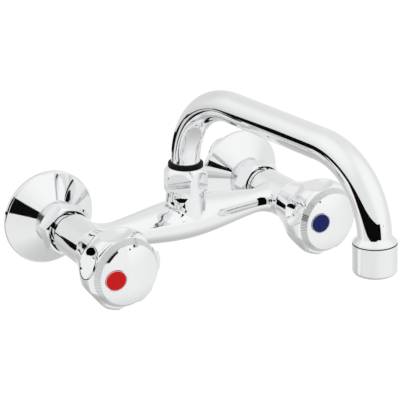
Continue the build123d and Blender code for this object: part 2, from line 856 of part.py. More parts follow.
def aerator_housing():
    thread = outlet_thread_radius + housing_thread_clearance
    insert_start = outlet_thread_end + aerator_gasket_thickness
    bend = housing_round * (1.0 - math.sqrt(0.5))
    outside = Polyline(
        (thread, shoulder_end),
        (housing_radius - shoulder_edge, shoulder_end),
        (housing_radius, shoulder_end + shoulder_edge),
        (housing_radius, housing_end - housing_round),
    )
    rounding = ThreePointArc(
        (housing_radius, housing_end - housing_round),
        (housing_radius - bend, housing_end - bend),
        (housing_radius - housing_round, housing_end),
    )
    inside = Polyline(
        (housing_radius - housing_round, housing_end),
        (housing_lip_radius, housing_end),
        (housing_lip_radius, housing_lip_start),
        (housing_bore_radius, housing_lip_start),
        (housing_bore_radius, insert_start - aerator_gasket_thickness),
        (thread, insert_start - aerator_gasket_thickness),
        (thread, shoulder_end),
    )
    face = make_face(Curve() + [outside, rounding, inside])
    return outlet_place() * revolve(Plane.XZ * face, Axis.Z, 360.0)


def aerator_gasket():
    inner = insert_radius - aerator_gasket_width
    end = outlet_thread_end + aerator_gasket_thickness
    return around_outlet([
        (inner, outlet_thread_end),
        (insert_radius, outlet_thread_end),
        (insert_radius, end),
        (inner, end),
    ])


def aerator_insert():
    start = outlet_thread_end + aerator_gasket_thickness
    end = housing_lip_start
    mesh_reach = insert_inner_radius - mesh_margin
    cavity_start = start + insert_top_thickness
    cavity_end = end - insert_mesh_thickness
    shell = Pos(0.0, 0.0, start) * extrude(Circle(insert_radius), end - start)
    shell -= Pos(0.0, 0.0, cavity_start) * extrude(Circle(insert_inner_radius), cavity_end - cavity_start)
    mesh = Sketch()
    across = int(2.0 * mesh_reach / mesh_pitch)
    for spot in GridLocations(mesh_pitch, mesh_pitch, across, across):
        if spot.position.length < mesh_reach - mesh_hole / 2.0:
            mesh += spot * Rectangle(mesh_hole, mesh_hole)
    shell -= Pos(0.0, 0.0, cavity_end) * extrude(mesh, insert_mesh_thickness)
    jets = PolarLocations(insert_inner_radius - jet_margin, jet_count) * Circle(jet_hole_radius)
    shell -= Pos(0.0, 0.0, start) * extrude(Sketch() + jets, insert_top_thickness)
    return outlet_place() * shell


def save(name, shape):
    export_step(Pos(0.0, 0.0, valve_axis_z) * shape, os.path.join("parts", name + ".step"))


def save_pair(name, shape):
    for side, sign, _, _ in sides:
        save(name + "_" + side, Pos(sign * half_spacing, 0.0, 0.0) * shape)


save("mixer_body", mixer_body())
save("spout_tube", spout_tube())
save("spout_nut", spout_nut())
save("spout_ring", spout_ring())
save("spout_split_ring", spout_split_ring())
save("spout_o_ring_lower", spout_o_ring(lower_ring_up))
save("spout_o_ring_upper", spout_o_ring(upper_ring_up))
save("aerator_housing", aerator_housing())
save("aerator_gasket", aerator_gasket())
save("aerator_insert", aerator_insert())

save_pair("eccentric_union", eccentric_union())
save_pair("wall_cover", wall_cover())
save_pair("inlet_gasket", inlet_gasket())
save_pair("inlet_strainer", inlet_strainer())
save_pair("keeper_ring", keeper_ring())
save_pair("bonnet_gasket", bonnet_gasket())
save_pair("valve_bonnet", valve_bonnet())
save_pair("seat_washer", seat_washer())
save_pair("washer_screw", washer_screw())
save_pair("valve_plug", valve_plug())
save_pair("valve_spindle", valve_spindle())
save_pair("spindle_o_ring", spindle_o_ring())
save_pair("spindle_circlip", spindle_circlip())
save_pair("handle_body", handle_body())
save_pair("handle_screw", handle_screw())

for side, sign, nut_turn, index_angle in sides:
    place = Pos(sign * half_spacing, 0.0, 0.0)
    save("union_nut_" + side, place * union_nut(nut_turn))
    save("handle_cap_" + side, place * handle_cap(index_angle))
    save("index_disc_" + side, place * index_disc(index_angle))
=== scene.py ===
import json
import math

import bpy
from bpy.props import FloatProperty, FloatVectorProperty, PointerProperty
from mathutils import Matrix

bl_info = {
    "name": "Wall basin mixer tap",
    "version": (1, 0, 0),
    "blender": (4, 5, 0),
    "location": "3D View > Sidebar > Mixer tap",
    "description": "Finishes, camera and studio of a wall-mounted two-handle basin mixer tap",
    "category": "Object",
}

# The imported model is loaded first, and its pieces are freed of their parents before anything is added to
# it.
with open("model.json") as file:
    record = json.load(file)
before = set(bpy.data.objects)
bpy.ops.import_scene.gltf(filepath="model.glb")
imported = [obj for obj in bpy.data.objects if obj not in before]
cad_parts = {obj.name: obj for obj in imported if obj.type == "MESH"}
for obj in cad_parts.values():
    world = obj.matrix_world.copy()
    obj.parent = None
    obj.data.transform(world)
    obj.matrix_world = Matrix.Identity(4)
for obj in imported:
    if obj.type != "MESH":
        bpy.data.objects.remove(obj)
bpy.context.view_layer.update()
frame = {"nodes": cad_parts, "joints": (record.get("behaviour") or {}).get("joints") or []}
nodes = frame["nodes"]

SIDES = ("left", "right")
WHITE = (1.0, 1.0, 1.0, 1.0)

# Places are in the shared frame, in metres. Each valve's axis runs along Y through its handle's joint.
JOINT_PLACES = {joint["name"]: joint["pos_m"] for joint in frame["joints"] if joint["type"] == "hinge"}
VALVE_ACROSS, _, VALVE_UP = JOINT_PLACES["handle_turn_right"]

# The index discs' middles: how far from the valve's axis, and in which direction, counted from the right.
DISC_FROM_AXIS = 0.0101
DISC_ANGLES = {"left": 181.8, "right": 169.4}

# The rim round a disc's lens: how pale it is, and how much of the disc's colour it has.
RIM_PALENESS = 0.45
RIM_TINT = 0.5

# The joint between spout and aerator, where a dark line of shade is painted: how far out from the swivel and
# how high, and which way it faces.
SPOUT_HEADING = math.radians(4.6)
OUTLET_REACH = 0.17213
OUTLET_UP = 0.03338
OUTLET_TILT = math.radians(4.1)

# Painted shade in the recess of a union nut's front, a dark ring: radii from the valve's axis, distances from
# the wall.
NUT_RECESS_SHADE = {"Inner": 0.0127, "Outer": 0.0142, "Back": 0.0297, "Front": 0.0312}


# Settings

class TapFinish(bpy.types.PropertyGroup):
    chrome: FloatVectorProperty(
        name="Chrome", description="Colour of the bright plating", subtype="COLOR",
        size=3, min=0.0, max=1.0, default=(0.92, 0.925, 0.93))
    chrome_roughness: FloatProperty(
        name="Chrome roughness", description="Roughness of the polished plating",
        min=0.0, max=1.0, subtype="FACTOR", default=0.035)
    plain_roughness: FloatProperty(
        name="Plain plating roughness", description="Roughness of the plated unions behind the covers",
        min=0.0, max=1.0, subtype="FACTOR", default=0.22)
    ripple: FloatProperty(
        name="Casting ripple", description="Height of the faint waves under the plating of cast pieces",
        unit="LENGTH", min=0.0, max=0.001, default=0.00002)
    # Painted shade: the near-black colour laid over the plating in recesses, joints and knurl grooves, where
    # shade falls.
    painted_shade: FloatVectorProperty(
        name="Painted shade", description="Colour of the plating deep in recesses, joints and knurls",
        subtype="COLOR", size=3, min=0.0, max=1.0, default=(0.010, 0.010, 0.011))
    brass: FloatVectorProperty(
        name="Brass", description="Colour of the turned brass inside the valves", subtype="COLOR",
        size=3, min=0.0, max=1.0, default=(0.72, 0.52, 0.24))
    steel: FloatVectorProperty(
        name="Stainless steel", description="Colour of the screws, circlips, retaining rings and strainers",
        subtype="COLOR", size=3, min=0.0, max=1.0, default=(0.55, 0.55, 0.56))
    rubber: FloatVectorProperty(
        name="Rubber", description="Colour of the seals and of the ring on the spout nut", subtype="COLOR",
        size=3, min=0.0, max=1.0, default=(0.005, 0.005, 0.0055))
    plastic: FloatVectorProperty(
        name="White plastic", description="Colour of the aerator insert and the split ring",
        subtype="COLOR", size=3, min=0.0, max=1.0, default=(0.78, 0.78, 0.76))
    hot: FloatVectorProperty(
        name="Hot index", description="Colour of the hot side's index disc", subtype="COLOR",
        size=3, min=0.0, max=1.0, default=(0.62, 0.006, 0.007))
    cold: FloatVectorProperty(
        name="Cold index", description="Colour of the cold side's index disc", subtype="COLOR",
        size=3, min=0.0, max=1.0, default=(0.008, 0.014, 0.125))


class TapStudio(bpy.types.PropertyGroup):
    floor_height: FloatProperty(
        name="Floor height", description="Height of the floor below the tap", unit="LENGTH",
        min=-2.0, max=0.0, default=-0.34)
    floor_colour: FloatVectorProperty(
        name="Floor", description="Colour of the pale floor", subtype="COLOR",
        size=3, min=0.0, max=1.0, default=(0.90, 0.90, 0.90))
    daylight: FloatProperty(
        name="Studio light", description="Level of the soft light from all round",
        min=0.0, max=3.0, default=0.92)
    camera_place: FloatVectorProperty(
        name="Camera place", description="Where the camera stands", subtype="TRANSLATION", unit="LENGTH",
        size=3, default=(-0.41394, -0.71357, 0.31834))
    camera_tilt: FloatProperty(
        name="Camera tilt", description="Turn of the camera up from straight down", subtype="ANGLE",
        default=math.radians(68.043))
    camera_heading: FloatProperty(
        name="Camera heading", description="Turn of the camera about the vertical", subtype="ANGLE",
        default=math.radians(-32.633))
    lens: FloatProperty(
        name="Focal length", description="Focal length of the camera in millimetres",
        min=10.0, max=500.0, default=116.83)


# Shader helpers

COLOUR, NUMBER, VECTOR = "NodeSocketColor", "NodeSocketFloat", "NodeSocketVector"
FINISH_OUTPUTS = (("Colour", COLOUR), ("Roughness", NUMBER), ("Height", NUMBER))
MASK_OUTPUT = (("Mask", NUMBER),)


def new_group(name, inputs, outputs):
    """A shader node group with the given sockets: name, kind and, for an input, its default."""
    group = bpy.data.node_groups.new(name, "ShaderNodeTree")
    for label, kind, value in inputs:
        group.interface.new_socket(label, in_out="INPUT", socket_type=kind).default_value = value
    for label, kind in outputs:
        group.interface.new_socket(label, in_out="OUTPUT", socket_type=kind)
    start = group.nodes.new("NodeGroupInput")
    end = group.nodes.new("NodeGroupOutput")
    return group, start.outputs, end.inputs


def add(tree, kind, **values):
    """A node of that kind with its settings made."""
    node = tree.nodes.new(kind)
    for key, value in values.items():
        setattr(node, key, value)
    return node


def object_place(tree):
    """The point's place on its piece, which at rest is its place in the shared frame."""
    return add(tree, "ShaderNodeTexCoord").outputs["Object"]


def noise(tree, vector, scale, detail=2.0, roughness=0.5):
    """A noise texture read at that vector."""
    node = add(tree, "ShaderNodeTexNoise")
    node.inputs["Scale"].default_value = scale
    node.inputs["Detail"].default_value = detail
    node.inputs["Roughness"].default_value = roughness
    tree.links.new(vector, node.inputs["Vector"])
    return node.outputs["Fac"]


def stretched(tree, vector, scale, turn=(0.0, 0.0, 0.0)):
    """The vector scaled along each axis and then turned: a small scale draws a pattern out along its axis."""
    mapping = add(tree, "ShaderNodeMapping")
    mapping.inputs["Rotation"].default_value = turn
    mapping.inputs["Scale"].default_value = scale
    tree.links.new(vector, mapping.inputs["Vector"])
    return mapping.outputs["Vector"]


def spread(tree, value, limits, result=(0.0, 1.0)):
    """The value moved from the range between two limits to another range, and held inside it."""
    node = add(tree, "ShaderNodeMapRange", clamp=True)
    tree.links.new(value, node.inputs["Value"])
    for label, number in zip(("From Min", "From Max", "To Min", "To Max"), (*limits, *result)):
        node.inputs[label].default_value = number
    return node.outputs["Result"]


def blend_colours(tree, share, first, second):
    """A mix of two colours by a share, the second one given as a socket or as a colour."""
    node = add(tree, "ShaderNodeMix", data_type="RGBA")
    tree.links.new(share, node.inputs["Factor"])
    start, end = [socket for socket in node.inputs if socket.type == "RGBA"]
    tree.links.new(first, start)
    if hasattr(second, "links"):
        tree.links.new(second, end)
    else:
        end.default_value = second
    return next(socket for socket in node.outputs if socket.type == "RGBA")


def math_node(tree, operation, first, second=0.0, clamp=False):
    """A sum, product or other step on one or two values, each given as a socket or a number."""
    node = add(tree, "ShaderNodeMath", operation=operation, use_clamp=clamp)
    for index, value in enumerate((first, second)):
        if isinstance(value, (int, float)):
            node.inputs[index].default_value = value
        else:
            tree.links.new(value, node.inputs[index])
    return node.outputs[0]


def vector_node(tree, operation, first, second):
    """A step on two vectors, the second one given as a socket or as numbers."""
    node = add(tree, "ShaderNodeVectorMath", operation=operation)
    tree.links.new(first, node.inputs[0])
    if hasattr(second, "links"):
        tree.links.new(second, node.inputs[1])
    else:
        node.inputs[1].default_value = second
    return node


def between(tree, value, low, high):
    """One where the value lies between the two limits, and nought elsewhere."""
    above = math_node(tree, "GREATER_THAN", value, low)
    return math_node(tree, "MULTIPLY", above, math_node(tree, "LESS_THAN", value, high))


# Effects that the finishes share. A noise's scale is in waves to the metre and a height in metres.
# Dulling is roughness that is added, and shade is the share of a duller colour.

FILM_SCALE = 38.0
FILM_RANGE = (0.42, 0.72)
FILM_DULLING = 0.05
FILM_SHADE = 0.05
# Each set of hairlines: a turn in degrees, which takes it to another part of the noise, and its scale.
HAIRLINES = ((0.0, 900.0), (55.0, 700.0), (118.0, 1100.0))
HAIRLINE_TILT = 0.7
HAIRLINE_STRETCH = (1.0, 0.035, 0.6)
HAIRLINE_RANGE = (0.70, 0.76)
HAIRLINE_DULLING = 0.06
DEPTH_SCALE = 14.0
DEPTH_RANGE = (0.3, 0.7)
DEPTH_SHADE = (0.0, 0.05)
DULLED_PLATING = (0.55, 0.57, 0.60, 1.0)
RIPPLE_SCALE = 55.0


def plating_wear_group():
    """Bright plating as it comes off the buffing wheel: faint haze, wiped film and hairline marks."""
    group, start, end = new_group(
        "plating_wear",
        (("Colour", COLOUR, WHITE), ("Roughness", NUMBER, 0.04), ("Film", NUMBER, 0.5),
         ("Marks", NUMBER, 0.5), ("Ripple", NUMBER, 0.00002)),
        FINISH_OUTPUTS)
    place = object_place(group)
    link = group.links.new
    # Film: wide soft patches that dull the gloss a little.
    film = spread(group, noise(group, place, FILM_SCALE, detail=4.0, roughness=0.55), FILM_RANGE)
    film = math_node(group, "MULTIPLY", film, start["Film"])
    # Marks: hairlines that run from front to back, made of narrow steps in a stretched noise.
    marks = 0.0
    for turn, scale in HAIRLINES:
        turn = math.radians(turn)
        drawn_out = stretched(group, place, HAIRLINE_STRETCH, (turn * HAIRLINE_TILT, turn, turn))
        line = spread(group, noise(group, drawn_out, scale, detail=1.0), HAIRLINE_RANGE)
        marks = math_node(group, "MAXIMUM", marks, line)
    marks = math_node(group, "MULTIPLY", marks, start["Marks"])
    rough = math_node(group, "ADD", start["Roughness"], math_node(group, "MULTIPLY", film, FILM_DULLING))
    rough = math_node(group, "ADD", rough, math_node(group, "MULTIPLY", marks, HAIRLINE_DULLING))
    link(rough, end["Roughness"])
    # The film and the plating's depth change the colour slightly.
    depth = spread(group, noise(group, place, DEPTH_SCALE, detail=3.0), DEPTH_RANGE, DEPTH_SHADE)
    shade = math_node(group, "ADD", depth, math_node(group, "MULTIPLY", film, FILM_SHADE))
    link(blend_colours(group, shade, start["Colour"], DULLED_PLATING), end["Colour"])
    # Ripple: low waves of the casting under the plating.
    wave = noise(group, place, RIPPLE_SCALE, detail=1.0, roughness=0.4)
    link(math_node(group, "MULTIPLY", wave, start["Ripple"]), end["Height"])
    return group


RING_SCALE = 5200.0
RING_STRETCH = (0.02, 1.0, 0.02)
RING_DULLING = 0.12
RING_HEIGHT = 0.00001
STAIN_SCALE = 140.0
STAIN_RANGE = (0.5, 0.78)
STAIN_SHADE = (0.0, 0.55)
STAIN_DULLING = 0.25


def turned_marks_group():
    """Fine rings that a lathe leaves along a valve's axis, with stains between them."""
    group, start, end = new_group(
        "turned_marks",
        (("Colour", COLOUR, WHITE), ("Stain", COLOUR, WHITE), ("Roughness", NUMBER, 0.25)),
        FINISH_OUTPUTS)
    place = object_place(group)
    link = group.links.new
    rings = noise(group, stretched(group, place, RING_STRETCH), RING_SCALE, detail=1.0)
    stain = noise(group, place, STAIN_SCALE, detail=4.0, roughness=0.6)
    stain = spread(group, stain, STAIN_RANGE, STAIN_SHADE)
    link(blend_colours(group, stain, start["Colour"], start["Stain"]), end["Colour"])
    rough = math_node(group, "ADD", start["Roughness"], math_node(group, "MULTIPLY", rings, RING_DULLING))
    rough = math_node(group, "ADD", rough, math_node(group, "MULTIPLY", stain, STAIN_DULLING))
    link(rough, end["Roughness"])
    link(math_node(group, "MULTIPLY", rings, RING_HEIGHT), end["Height"])
    return group


DUST_SCALE = 420.0
DUST_RANGE = (0.5, 0.8)
MOTTLE_SCALE = 160.0
MOTTLE_RANGE = (0.3, 0.7)
MOTTLE_DULLING = (-0.05, 0.08)
GRAIN_SCALE = 2600.0


def moulded_group():
    """Moulded rubber or plastic: fine grain, a little dust and a mottled gloss."""
    group, start, end = new_group(
        "moulded",
        (("Colour", COLOUR, WHITE), ("Dust", COLOUR, WHITE), ("Dustiness", NUMBER, 0.2),
         ("Roughness", NUMBER, 0.5), ("Grain", NUMBER, 0.00001)),
        FINISH_OUTPUTS)
    place = object_place(group)
    link = group.links.new
    dust = spread(group, noise(group, place, DUST_SCALE, detail=5.0, roughness=0.65), DUST_RANGE)
    dust = math_node(group, "MULTIPLY", dust, start["Dustiness"])
    link(blend_colours(group, dust, start["Colour"], start["Dust"]), end["Colour"])
    mottle = spread(group, noise(group, place, MOTTLE_SCALE), MOTTLE_RANGE, MOTTLE_DULLING)
    link(math_node(group, "ADD", start["Roughness"], mottle), end["Roughness"])
    link(math_node(group, "MULTIPLY", noise(group, place, GRAIN_SCALE), start["Grain"]), end["Height"])
    return group


# Masks: where shade is painted into recesses, joints and knurl grooves, and the rims of the index discs.

def valve_distances(tree):
    """Distance from the nearer valve's axis, and from the wall."""
    place = add(tree, "ShaderNodeSeparateXYZ")
    tree.links.new(object_place(tree), place.inputs["Vector"])
    across = math_node(tree, "SUBTRACT", math_node(tree, "ABSOLUTE", place.outputs["X"]), VALVE_ACROSS)
    up = math_node(tree, "SUBTRACT", place.outputs["Z"], VALVE_UP)
    across_square = math_node(tree, "MULTIPLY", across, across)
    square = math_node(tree, "ADD", across_square, math_node(tree, "MULTIPLY", up, up))
    return math_node(tree, "SQRT", square), math_node(tree, "MULTIPLY", place.outputs["Y"], -1.0)


def recess_mask_group():
    """A ring-shaped recess about a valve's axis, where shade is painted dark."""
    group, start, end = new_group(
        "recess_shade_mask",
        (("Inner", NUMBER, 0.0), ("Outer", NUMBER, 1.0), ("Back", NUMBER, 0.0), ("Front", NUMBER, 1.0),
         ("Fade", NUMBER, 0.0005)),
        MASK_OUTPUT)
    radius, from_wall = valve_distances(group)
    ring = between(group, radius, start["Inner"], start["Outer"])
    to_front = math_node(group, "SUBTRACT", start["Front"], from_wall)
    faded = math_node(group, "DIVIDE", to_front, start["Fade"], clamp=True)
    ahead = math_node(group, "GREATER_THAN", from_wall, start["Back"])
    mask = math_node(group, "MULTIPLY", ring, math_node(group, "MULTIPLY", faded, ahead))
    group.links.new(mask, end["Mask"])
    return group


# The knurled band's back and front edges: distances from the wall, and radii.
KNURL_BACK, KNURL_FRONT = 0.1035, 0.1070
KNURL_BACK_RADIUS, KNURL_FRONT_RADIUS = 0.0220, 0.0195
# How deep in a groove, counted from the band's cone, the painted shade begins, and is darkest.
GROOVE_SHADE_DEPTHS = (0.00018, 0.00032)


def knurl_mask_group():
    """The bottoms of the grooves in the handle's knurled band, a cone that narrows towards the user, where
    shade is painted.
    """
    slant = (KNURL_BACK_RADIUS - KNURL_FRONT_RADIUS) / (KNURL_FRONT - KNURL_BACK)
    group, start, end = new_group(
        "knurl_shade_mask",
        (("Back", NUMBER, KNURL_BACK), ("Back radius", NUMBER, KNURL_BACK_RADIUS),
         ("Front", NUMBER, KNURL_FRONT), ("Slant", NUMBER, slant), ("Strength", NUMBER, 0.4)),
        MASK_OUTPUT)
    radius, from_wall = valve_distances(group)
    ahead = math_node(group, "SUBTRACT", from_wall, start["Back"])
    narrowing = math_node(group, "MULTIPLY", ahead, start["Slant"])
    cone = math_node(group, "SUBTRACT", start["Back radius"], narrowing)
    deep = spread(group, math_node(group, "SUBTRACT", cone, radius), GROOVE_SHADE_DEPTHS)
    deep = math_node(group, "MULTIPLY", deep, start["Strength"])
    band = between(group, from_wall, start["Back"], start["Front"])
    group.links.new(math_node(group, "MULTIPLY", deep, band), end["Mask"])
    return group


def joint_mask_group():
    """The narrow joint between the spout's shoulder and the aerator, where a dark line of shade is painted.
    """
    group, start, end = new_group("joint_shade_mask", (("Half width", NUMBER, 0.00025),), MASK_OUTPUT)
    swivel_x, swivel_y, _ = JOINT_PLACES["spout_swivel"]
    right, ahead = math.sin(SPOUT_HEADING), -math.cos(SPOUT_HEADING)
    middle = (swivel_x + OUTLET_REACH * right, swivel_y + OUTLET_REACH * ahead, OUTLET_UP)
    axis = (right * math.sin(OUTLET_TILT), ahead * math.sin(OUTLET_TILT), -math.cos(OUTLET_TILT))
    offset = vector_node(group, "SUBTRACT", object_place(group), middle).outputs["Vector"]
    along = vector_node(group, "DOT_PRODUCT", offset, axis).outputs["Value"]
    distance = math_node(group, "ABSOLUTE", along)
    group.links.new(math_node(group, "LESS_THAN", distance, start["Half width"]), end["Mask"])
    return group


def rim_mask_group():
    """The bright rim of an index disc's lens, beyond a radius from the disc's centre."""
    group, start, end = new_group(
        "rim_mask", (("Centre", VECTOR, (0.0, 0.0, 0.0)), ("Radius", NUMBER, 0.0060)), MASK_OUTPUT)
    flat = vector_node(group, "MULTIPLY", object_place(group), (1.0, 0.0, 1.0)).outputs["Vector"]
    apart = vector_node(group, "DISTANCE", flat, start["Centre"]).outputs["Value"]
    group.links.new(math_node(group, "GREATER_THAN", apart, start["Radius"]), end["Mask"])
    return group


GROUPS = {
    "plating_wear": plating_wear_group,
    "turned_marks": turned_marks_group,
    "moulded": moulded_group,
    "recess_shade_mask": recess_mask_group,
    "knurl_shade_mask": knurl_mask_group,
    "joint_shade_mask": joint_mask_group,
    "rim_mask": rim_mask_group,
}


# Materials

def place_group(tree, name, values):
    """The named effect in a material, with its own values. The group is built when it is first used."""
    effect = add(tree, "ShaderNodeGroup", node_tree=bpy.data.node_groups.get(name) or GROUPS[name]())
    for label, value in values.items():
        effect.inputs[label].default_value = value
    return effect.outputs


def new_material(name):
    """An empty node material with its shader joined to its output."""
    material = bpy.data.materials.new(name)
    material.use_nodes = True
    tree = material.node_tree
    tree.nodes.clear()
    output = add(tree, "ShaderNodeOutputMaterial")
    shader = add(tree, "ShaderNodeBsdfPrincipled")
    tree.links.new(shader.outputs["BSDF"], output.inputs["Surface"])
    return material, tree, shader


def grouped_material(name, effect_name, values, metallic):
    """A material whose colour, gloss and relief come from one of the groups."""
    material, tree, shader = new_material(name)
    effect = place_group(tree, effect_name, values)
    # The group's height is in metres, so the relief takes it as it is.
    relief = add(tree, "ShaderNodeBump")
    relief.inputs["Strength"].default_value = 1.0
    relief.inputs["Distance"].default_value = 1.0
    link = tree.links.new
    link(effect["Height"], relief.inputs["Height"])
    link(effect["Colour"], shader.inputs["Base Color"])
    link(effect["Roughness"], shader.inputs["Roughness"])
    link(relief.outputs["Normal"], shader.inputs["Normal"])
    shader.inputs["Metallic"].default_value = metallic
    return material, tree, shader


def opaque(colour):
    """The colour with full alpha."""
    return (*colour, 1.0)


def blend_by_mask(tree, shader, mask, colour, values):
    """Blends the shader's base colour to another where the named mask is."""
    share = place_group(tree, mask, values)["Mask"]
    base = shader.inputs["Base Color"].links[0].from_socket
    tree.links.new(blend_colours(tree, share, base, opaque(colour)), shader.inputs["Base Color"])


def chrome(name, film, marks, ripple=0.0, roughness=None, mask=None, mask_values=None):
    """Bright plating with that much film, hairlines and ripple, and painted shade where the named mask is."""
    finish = bpy.context.scene.tap_finish
    material, tree, shader = grouped_material(name, "plating_wear", {
        "Colour": opaque(finish.chrome),
        "Roughness": finish.chrome_roughness if roughness is None else roughness,
        "Film": film,
        "Marks": marks,
        "Ripple": ripple,
    }, metallic=1.0)
    # Painted shade: the dark colour goes over the plating where the mask is.
    if mask:
        blend_by_mask(tree, shader, mask, finish.painted_shade, mask_values or {})
    return material


def turned_metal(name, colour, stain, roughness):
    """Bare turned metal."""
    material, _, _ = grouped_material(name, "turned_marks", {
        "Colour": opaque(colour),
        "Stain": opaque(stain),
        "Roughness": roughness,
    }, metallic=1.0)
    return material


def moulded(name, colour, dust, dustiness, roughness, grain=0.0, specular=0.5):
    """Moulded rubber or plastic of that colour."""
    material, tree, shader = grouped_material(name, "moulded", {
        "Colour": opaque(colour),
        "Dust": opaque(dust),
        "Dustiness": dustiness,
        "Roughness": roughness,
        "Grain": grain,
    }, metallic=0.0)
    shader.inputs["Specular IOR Level"].default_value = specular
    return material, tree, shader


def dress(node_names, material):
    """Gives the named pieces that material."""
    for name in node_names:
        mesh = nodes[name].data
        mesh.materials.clear()
        mesh.materials.append(material)


def both(*stems):
    """The names of those pieces on both sides."""
    return [f"{stem}_{side}" for stem in stems for side in SIDES]


# Pieces

class TAP_OT_body(bpy.types.Operator):
    """Finishes the cast body, its nuts and the valve bonnets"""
    bl_idname = "tap.body"
    bl_label = "Mixer body"

    def execute(self, context):
        finish = context.scene.tap_finish
        dress(["mixer_body"], chrome("cast_chrome", film=0.35, marks=0.25, ripple=finish.ripple))
        # The nuts get painted shade in the recess of their front.
        nuts = chrome("nut_chrome", film=0.45, marks=0.45, mask="recess_shade_mask", mask_values=NUT_RECESS_SHADE)
        dress(["spout_nut", *both("union_nut", "valve_bonnet")], nuts)
        return {"FINISHED"}


class TAP_OT_unions(bpy.types.Operator):
    """Finishes the wall unions and their covers"""
    bl_idname = "tap.unions"
    bl_label = "Wall unions and covers"

    def execute(self, context):
        finish = context.scene.tap_finish
        dress(both("wall_cover"), chrome("spun_chrome", film=0.4, marks=0.35, ripple=finish.ripple / 2.0))
        plain = chrome("plain_plating", film=0.9, marks=0.8, roughness=finish.plain_roughness)
        dress(both("eccentric_union"), plain)
        return {"FINISHED"}


class TAP_OT_spout(bpy.types.Operator):
    """Finishes the bent spout and its aerator"""
    bl_idname = "tap.spout"
    bl_label = "Spout and aerator"

    def execute(self, context):
        finish = context.scene.tap_finish
        # The tube and aerator get a painted dark line of shade in the joint between them.
        tube = chrome("tube_chrome", film=0.25, marks=0.2, ripple=finish.ripple / 2.0, mask="joint_shade_mask")
        dress(["spout_tube"], tube)
        dress(["aerator_housing"], chrome("aerator_chrome", film=0.35, marks=0.35, mask="joint_shade_mask"))
        white, _, _ = moulded(
            "white_plastic", finish.plastic, dust=(0.45, 0.44, 0.40), dustiness=0.35, roughness=0.38,
            grain=0.00001)
        dress(["aerator_insert", "spout_split_ring"], white)
        return {"FINISHED"}


class TAP_OT_handles(bpy.types.Operator):
    """Finishes the two lobed handles and their index discs"""
    bl_idname = "tap.handles"
    bl_label = "Handles"

    def execute(self, context):
        finish = context.scene.tap_finish
        dress(both("handle_body"), chrome("handle_chrome", film=0.35, marks=0.3, ripple=finish.ripple))
        # The cap's knurl grooves get painted shade.
        cap = chrome("cap_chrome", film=0.3, marks=0.3, ripple=finish.ripple / 2.0, mask="knurl_shade_mask")
        dress(both("handle_cap"), cap)
        self.index_disc("left", finish.hot)
        self.index_disc("right", finish.cold)
        return {"FINISHED"}

    def index_disc(self, side, colour):
        """A disc of that colour, with a paler rim round its lens."""
        lens, tree, shader = moulded(
            "index_" + side, colour, dust=(0.8, 0.8, 0.8), dustiness=0.015, roughness=0.30, specular=0.12)
        rim = [RIM_PALENESS + RIM_TINT * channel for channel in colour]
        valve_x, _, valve_z = JOINT_PLACES["handle_turn_" + side]
        angle = math.radians(DISC_ANGLES[side])
        centre = (valve_x + DISC_FROM_AXIS * math.cos(angle), 0.0, valve_z + DISC_FROM_AXIS * math.sin(angle))
        blend_by_mask(tree, shader, "rim_mask", rim, {"Centre": centre})
        dress(["index_disc_" + side], lens)


class TAP_OT_inner(bpy.types.Operator):
    """Finishes the valve pieces, seals and screws inside the tap"""
    bl_idname = "tap.inner"
    bl_label = "Valves and seals"

    def execute(self, context):
        finish = context.scene.tap_finish
        brass = turned_metal("turned_brass", finish.brass, stain=(0.36, 0.20, 0.08), roughness=0.2)
        dress(both("valve_spindle", "valve_plug"), brass)
        steel = turned_metal("stainless_steel", finish.steel, stain=(0.38, 0.37, 0.36), roughness=0.18)
        dress(both("handle_screw", "washer_screw", "spindle_circlip", "keeper_ring", "inlet_strainer"), steel)
        rubber, _, _ = moulded(
            "seal_rubber", finish.rubber, dust=(0.10, 0.10, 0.10), dustiness=0.12, roughness=0.46,
            grain=0.000015, specular=0.06)
        seals = both("inlet_gasket", "bonnet_gasket", "seat_washer", "spindle_o_ring")
        dress(["spout_ring", "spout_o_ring_lower", "spout_o_ring_upper", "aerator_gasket", *seals], rubber)
        return {"FINISHED"}


# Stage

FLOOR_SIZE = 12.0
FLOOR_ROUGHNESS = 0.8
# What the camera sees on top of the floor's own colour, so that the floor is as pale as the paper.
FLOOR_LIFT = 0.2

# The camera: its sensor's width in millimetres, and how near and how far it sees in metres.
SENSOR_WIDTH = 36.0
NEAREST_SEEN = 0.01
FARTHEST_SEEN = 50.0

# The tent that the plating mirrors: its level, then each patch of it, with its heading, its height,
# its inner and outer angle, all in degrees, and how much brighter or darker than the level it is.
TENT_LEVEL = 0.84
TENT_PATCHES = (
    (30.0, 40.0, 10.0, 60.0, 0.16),
    (-118.0, 50.0, 5.0, 45.0, 0.14),
    (20.0, -35.0, 10.0, 60.0, 0.08),
    (140.0, -25.0, 8.0, 30.0, 0.10),
    (180.0, -75.0, 15.0, 65.0, -0.30),
    (-140.0, -25.0, 5.0, 35.0, -0.14),
    (180.0, 10.0, 10.0, 40.0, -0.10),
)

# Cards are black, and the pale ones also glow, a little brighter than the tent's level.
FLAG_BLACK = (0.004, 0.004, 0.004, 1.0)
CARD_GLOW = 0.93

# The long black flag, from behind along the left and round to the front: X, Y, lower and upper edge.
LONG_FLAG = (
    (0.10, 0.46, -0.125, -0.070),
    (-0.10, 0.36, -0.100, -0.045),
    (-0.20, 0.25, -0.110, 0.000),
    (-0.20, 0.225, -0.110, 0.000),
    (-0.20, 0.215, -0.022, -0.006),
    (-0.20, 0.121, -0.030, -0.014),
    (-0.20, 0.119, -0.058, -0.002),
    (-0.20, 0.025, -0.028, 0.073),
    (-0.20, -0.06, -0.010, 0.083),
    (-0.20, -0.29, -0.023, 0.070),
    (-0.10, -0.60, -0.035, 0.080),
    (0.03, -0.60, -0.030, 0.085),
)


def facing_user(y, outline):
    """The corners of a card across the tap, from an outline in X and Z."""
    return [(x, y, z) for x, z in outline]


def facing_side(x, outline):
    """The corners of a card beside the tap, from an outline in Y and Z."""
    return [(x, y, z) for y, z in outline]


